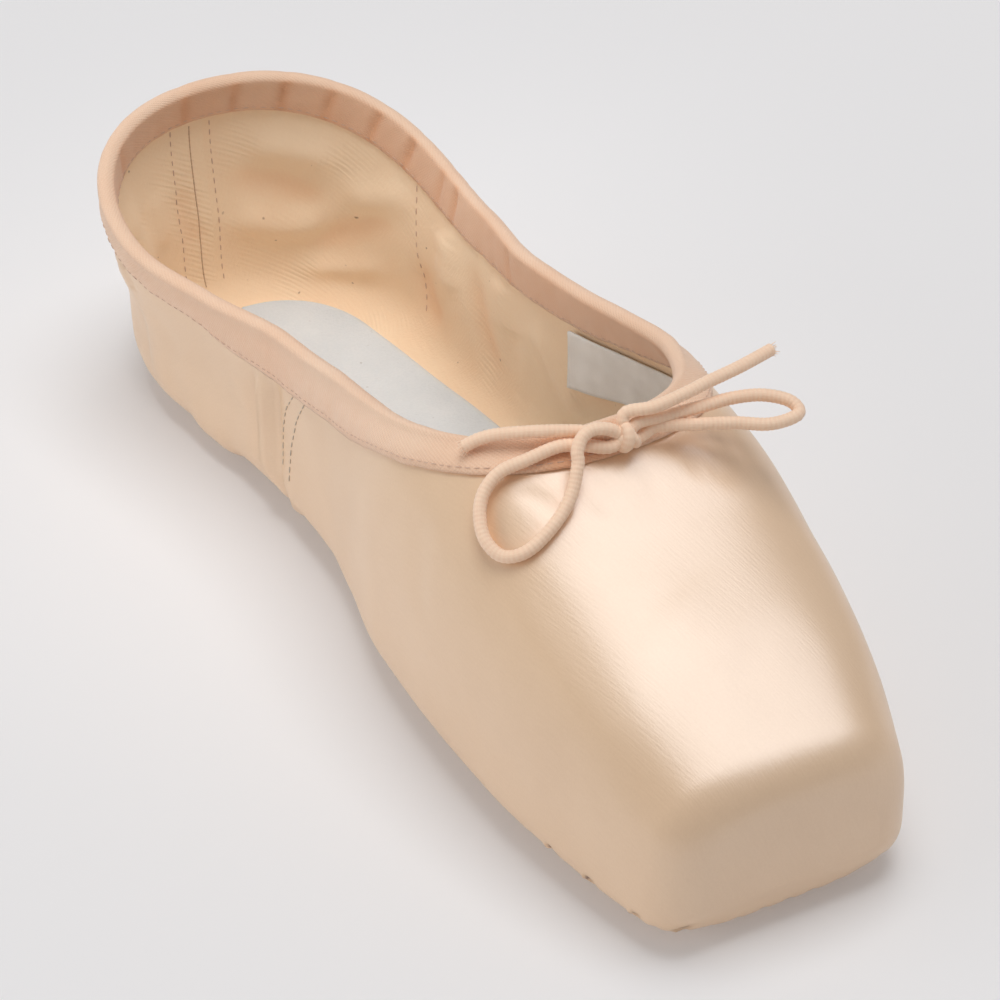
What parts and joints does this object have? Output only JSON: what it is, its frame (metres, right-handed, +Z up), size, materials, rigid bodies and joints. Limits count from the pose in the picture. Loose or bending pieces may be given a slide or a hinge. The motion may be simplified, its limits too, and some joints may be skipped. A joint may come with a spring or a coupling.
{
  "type": "pointe shoe",
  "caption": "Satin ballet pointe shoe with a stiff flat-tipped toe box, soft low quarters, a drawstring binding with a cord bow and a narrow leather sole.",
  "frame": {"origin": "on the floor under the centre of the shoe's outline, measured without the bow", "axes": "-Y towards the toe, +Y towards the heel, +Z up, X across the shoe"},
  "size_m": [0.0824, 0.235, 0.0746],
  "materials": {
    "satin": "pale peach satin outside with a soft sheen, cream cotton lining inside",
    "tape": "matt pink peach cotton twill tape",
    "sole_leather": "smooth tan split leather with brushed edges",
    "insole_board": "pale grey suede",
    "label_cloth": "blank off white woven tape",
    "cord": "pale peach braided cord"
  },
  "bodies": {
    "root": {"upper": "satin", "binding": "tape", "outsole": "sole_leather", "insole": "insole_board", "label": "label_cloth", "bow_knot": "cord", "bow_loop_left": "cord", "bow_loop_right": "cord", "bow_end_left": "cord", "bow_end_right": "cord"}
  },
  "joints": []
}
